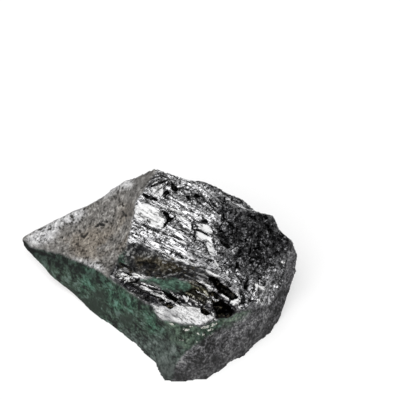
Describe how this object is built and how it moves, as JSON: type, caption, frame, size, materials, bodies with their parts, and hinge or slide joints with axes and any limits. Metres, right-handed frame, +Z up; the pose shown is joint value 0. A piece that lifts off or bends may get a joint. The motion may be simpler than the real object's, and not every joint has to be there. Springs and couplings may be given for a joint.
{
  "type": "silicon metal lump",
  "caption": "Rough broken lump of lustrous grey silicon metal with a bright cleavage face, a smooth cast skin and a green stained side, resting on a flat fracture face.",
  "frame": {"origin": "on the ground, under the middle of the lump's bounding box", "axes": "+X to the right, from the thin tail to the blunt end; -Y towards the front, where the toe points; +Z up"},
  "size_m": [0.0956, 0.0696, 0.0442],
  "materials": {
    "silicon": "satin"
  },
  "bodies": {
    "root": {"silicon_lump": "silicon"}
  },
  "joints": []
}
